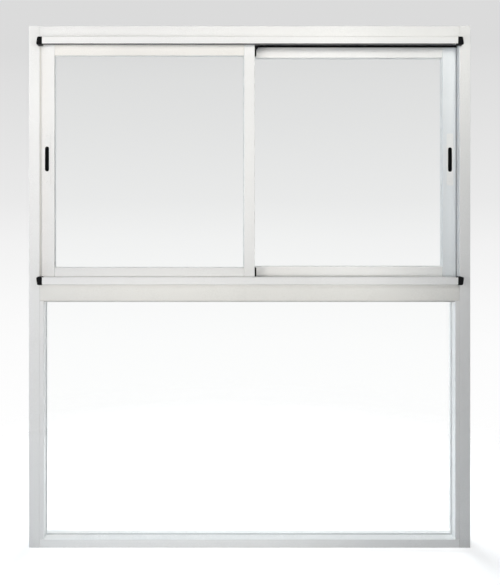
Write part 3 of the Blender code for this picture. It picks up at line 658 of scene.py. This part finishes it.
# %% [markdown]
# ## The bulb seal in the left jamb
# The left sash stops a hair short of the jamb's lip, and a soft white bulb closes the
# slit between them. The bulb is a thin tube as tall as the stile. It rests on the
# stile's face, and its foot lies flat on the back of the lip: the faces of a cylinder
# that look towards the jamb and out of the window are drawn out to make it.

# %% Model the bulb seal
BULB_SIDES = 20
BULB_RADIUS = 0.0019
BULB_GAP = 0.0003
BULB_REACH = 0.0015
BULB_SMOOTH = math.radians(35)
LIP_THICKNESS = 0.0016
FOOT_REACH = 0.0060
FOOT_SLANT = -0.45


def model_bulb_seal():
    stile_low, stile_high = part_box("left_sash_outer_stile")
    lip_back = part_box("left_jamb")[0].y + LIP_THICKNESS
    middle = (stile_low + stile_high) / 2
    middle.x = stile_low.x + BULB_REACH - BULB_RADIUS
    middle.y = lip_back + BULB_GAP + BULB_RADIUS
    start_clean()
    bpy.ops.mesh.primitive_cylinder_add(
        vertices=BULB_SIDES,
        radius=BULB_RADIUS,
        depth=stile_high.z - stile_low.z,
        location=middle,
    )
    seal = bpy.context.object
    settle(seal)
    edit(seal)
    select_faces(seal, lambda centre, normal: normal.x < FOOT_SLANT and normal.y < FOOT_SLANT)
    bpy.ops.mesh.extrude_region_move(TRANSFORM_OT_translate={"value": (-FOOT_REACH, 0.0, 0.0)})
    stop_editing()
    bpy.ops.object.shade_smooth_by_angle(angle=BULB_SMOOTH)
    return seal


put_on(model_bulb_seal(), "left_jamb_bulb_seal", white_nylon)
print("bulb seal in place")

# %% [markdown]
# ## The drip edge under the transom
# Rain that runs down the transom would creep along its underside to the pane. A thin
# rubber strip, pressed on just behind the face, makes it drop off. From the front it
# is a fine grey line between the transom and the glass, and its darker grey paints
# the shade of the transom's lower edge. It is one bar with softened edges.

# %% Model the drip edge
DRIP_BACK = 0.0025
DRIP_THICKNESS = 0.0020
DRIP_DROP = 0.0028
DRIP_ROUND = 0.0004


def model_drip_edge():
    transom_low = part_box("transom")[0]
    left_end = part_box("left_glazing_liner")[1].x + CLEARANCE
    right_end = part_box("right_glazing_liner")[0].x - CLEARANCE
    front = transom_low.y + DRIP_BACK
    top = transom_low.z - CLEARANCE
    low = Vector((left_end, front, top - DRIP_DROP))
    drip = add_block(low, Vector((right_end, front + DRIP_THICKNESS, top)))
    round_edges(drip, DRIP_ROUND, segments=3)
    return drip


# The strip's darker grey rubber paints the shade at the transom's lower edge.
put_on(model_drip_edge(), "transom_drip_edge", shade_line_rubber)
print("drip edge in place")

# %% [markdown]
# ## The backdrop
# The floor and the background are white and lose themselves in each other, with a
# pale grey towards the top as in the photograph. The grey belongs to the world: a
# colour ramp runs up it, by the slope of the line of sight, so the tones stay where
# they are when the camera turns. Only rays that we see by, directly, in a mirror or
# through glass, find it there. All other light from the world is a faint cool fill:
# dim from the front, where the lamps do the work, and stronger from behind, so that
# the sides and the back of the window don't go dark for whoever walks round it. The
# small guard keeps the slope from dividing by zero straight up and straight down.

# %% Paint the world
SLOPE_LOW = -0.32
SLOPE_HIGH = 0.24
SLOPE_GUARD = 0.0001
TONES = (
    (-0.320, 1.000),
    (-0.196, 0.975),
    (-0.140, 0.950),
    (-0.057, 0.888),
    (-0.002, 0.823),
    (0.109, 0.761),
    (0.164, 0.735),
    (0.200, 0.709),
)
FRONT_LIGHT = (0.006, 0.008, 0.012, 1.0)
BACK_LIGHT = (0.12, 0.13, 0.14, 1.0)
BACK_FADE = 2.0
BACK_START = 0.3


def seen_rays(finish):
    """1 for the rays that we see by, and 0 for those that only carry light."""
    total = 0.0
    for kind in ("Is Camera Ray", "Is Glossy Ray", "Is Transmission Ray"):
        total = finish.node("ShaderNodeLightPath", output=kind) + total
    return finish.clamp(total)


def along_ramp(slope):
    return (slope - SLOPE_LOW) / (SLOPE_HIGH - SLOPE_LOW)


def paint_world():
    world = bpy.data.worlds.new("studio")
    bpy.context.scene.world = world
    finish = Finish(world)
    direction = finish.node("ShaderNodeTexCoord", output="Generated")
    height = finish.node("ShaderNodeSeparateXYZ", {}, {"Vector": direction}, output="Z")
    away = finish.node("ShaderNodeSeparateXYZ", {}, {"Vector": direction}, output="Y")
    level = (1.0 - height * height) ** 0.5
    slope = height / (level + SLOPE_GUARD)
    stops = [(along_ramp(place), (tone, tone, tone, 1.0)) for place, tone in TONES]
    ramp = finish.node("ShaderNodeValToRGB", {"stops": stops}, {"Fac": along_ramp(slope)})
    behind = finish.clamp(away * BACK_FADE + BACK_START)
    fill = finish.mix(behind, FRONT_LIGHT, BACK_LIGHT)
    colour = finish.mix(seen_rays(finish), fill, ramp)
    light = finish.node("ShaderNodeBackground", {}, {"Color": colour, "Strength": 1.0})
    finish.show(light, "ShaderNodeOutputWorld")


paint_world()
print("world painted with", len(TONES), "tones")

# %% [markdown]
# ## The floor
# The floor is a round sheet. It is a white diffuse surface, so it takes the window's
# shadow, and it glows a little to the rays that we see by, which lifts it to the white
# of the photograph without throwing more light on the window. Towards its rim it fades
# to transparent, so no edge shows where the sheet ends and the backdrop begins.

# %% Lay the floor
FLOOR_SIDES = 96
FLOOR_RADIUS = 1.5
FLOOR_MIDDLE = (0.0, -0.2, 0.0)
FLOOR_WHITES = ((0.86, 0.86, 0.86, 1.0), (0.88, 0.88, 0.88, 1.0))
FLOOR_ROUGHNESS = 0.9
FLOOR_SHEEN = 0.1
FLOOR_GLOW = 0.56
PAPER_SCALE = 40.0
FADE_FROM = 0.55


def floor_finish():
    finish = new_finish("floor_white")
    place = finish.place()
    paper = finish.noise(place, PAPER_SCALE)
    matt = finish.principled(
        {
            "Base Color": finish.mix(paper, *FLOOR_WHITES),
            "Roughness": FLOOR_ROUGHNESS,
            "Specular IOR Level": FLOOR_SHEEN,
        }
    )
    glow = finish.node("ShaderNodeEmission", {}, {"Strength": seen_rays(finish) * FLOOR_GLOW})
    sheet = finish.node("ShaderNodeAddShader", {}, {0: matt, 1: glow})
    settings = {"operation": "DISTANCE"}
    inputs = {0: place, 1: FLOOR_MIDDLE}
    away = finish.node("ShaderNodeVectorMath", settings, inputs, output="Value")
    fade = finish.clamp((away / FLOOR_RADIUS - FADE_FROM) / (1.0 - FADE_FROM))
    nothing = finish.node("ShaderNodeBsdfTransparent")
    return finish.show(finish.mix_shaders(fade, sheet, nothing))


def lay_floor():
    start_clean()
    bpy.ops.mesh.primitive_circle_add(
        vertices=FLOOR_SIDES, radius=FLOOR_RADIUS, fill_type="NGON", location=FLOOR_MIDDLE
    )
    floor = bpy.context.object
    settle(floor)
    floor.name = "floor"
    dress(floor, floor_finish())


lay_floor()
print("floor laid")

# %% [markdown]
# ## The lamps
# The photograph is brightest along the head and at the top left, and it falls off to
# a cool grey down the right-hand jamb. Light falls off fast only near its lamp, so
# the lamps stand one to two metres away. Soft area lamps give the base: one at the
# left, one at the right and one in front. Spot lamps with wide soft edges then lift
# one place each: the middle, the sill, the ledge of the transom, both halves of the
# head and both top corners. They shine nearly straight at the window, because from
# above the screen guides would throw broad shadows on what lies below them.
#
# The other lamps serve whoever walks round the window: one at each end, one above
# and two behind, of which the nearer one also lights the reveals through the panes.
# A pane would mirror a lamp as a disc, so none shows in mirrors or in glass. Each row
# gives where a lamp is, what it aims at, its two sides in metres or its cone in
# degrees, its power in watts and its colour.

# %% Hang the lamps
LAMPS = {
    "left": ((-0.9, -1.0, 0.8), (-0.3, 0.0, 0.7), (0.6, 0.6), 6.1, (1.0, 0.95, 0.92)),
    "right": ((0.5, -1.2, 1.42), (0.4, 0.0, 1.2), (0.4, 0.4), 3.6, (1.0, 1.0, 1.0)),
    "front": ((0.0, -2.0, 0.72), (0.0, 0.0, 0.70), (0.5, 0.5), 4.6, (0.94, 0.97, 1.0)),
    "end_left": ((-2.4, -0.45, 0.9), (0.0, 0.0, 0.7), (0.8, 0.8), 12.0, (0.58, 0.82, 1.0)),
    "end_right": ((2.4, -0.45, 0.9), (0.0, 0.0, 0.7), (0.8, 0.8), 5.0, (1.0, 1.0, 1.0)),
    "above": ((0.0, 0.3, 2.9), (0.0, 0.0, 1.3), (0.4, 0.4), 12.0, (1.0, 1.0, 1.0)),
    "back": ((0.0, 2.4, 1.3), (0.0, 0.0, 0.6), (1.2, 1.2), 6.0, (0.95, 0.97, 1.0)),
    "reveals": ((0.0, 1.0, 0.8), (0.0, 0.0, 0.3), (1.0, 0.4), 11.0, (0.90, 0.95, 1.0)),
}
SPOTS = {
    "middle": ((-0.10, -1.8, 0.70), (0.02, 0.0, 0.60), 38, 26.5, (1.0, 0.95, 0.87)),
    "sill": ((-0.08, -1.8, 0.15), (-0.08, 0.0, 0.05), 34, 13.0, (1.0, 0.98, 0.96)),
    "ledge": ((0.30, -1.8, 0.72), (0.30, 0.0, 0.69), 14, 18.0, (1.0, 0.99, 0.96)),
    "head_left": ((-0.33, -1.0, 1.40), (-0.33, 0.0, 1.35), 80, 15.0, (1.0, 0.97, 0.93)),
    "head_right": ((0.41, -1.0, 1.40), (0.41, 0.0, 1.35), 80, 14.5, (1.0, 0.97, 0.89)),
    "corner_left": ((-0.90, -1.7, 1.25), (-0.500, 0.0, 1.19), 7, 40.0, (1.0, 0.97, 0.92)),
    "corner_right": ((0.45, -1.6, 1.30), (0.60, 0.0, 1.23), 14, 12.0, (1.0, 0.98, 0.95)),
}
SPOT_SOFTNESS = 1.0
SPOT_RADIUS = 0.15


def hang(data, where, aim, power, colour):
    data.energy = power
    data.color = colour
    lamp = bpy.data.objects.new(data.name, data)
    lamp.location = where
    lamp.rotation_euler = (Vector(aim) - Vector(where)).to_track_quat("-Z", "Y").to_euler()
    lamp.visible_camera = False
    lamp.visible_transmission = False
    lamp.visible_glossy = False
    bpy.context.scene.collection.objects.link(lamp)


for lamp_name, (where, aim, sides, power, colour) in LAMPS.items():
    soft = bpy.data.lights.new(lamp_name, "AREA")
    soft.shape = "ELLIPSE"
    soft.size, soft.size_y = sides
    hang(soft, where, aim, power, colour)

for spot_name, (where, aim, cone, power, colour) in SPOTS.items():
    spot = bpy.data.lights.new(spot_name, "SPOT")
    spot.spot_size = math.radians(cone)
    spot.spot_blend = SPOT_SOFTNESS
    spot.shadow_soft_size = SPOT_RADIUS
    hang(spot, where, aim, power, colour)
print(len(LAMPS) + len(SPOTS), "lamps")
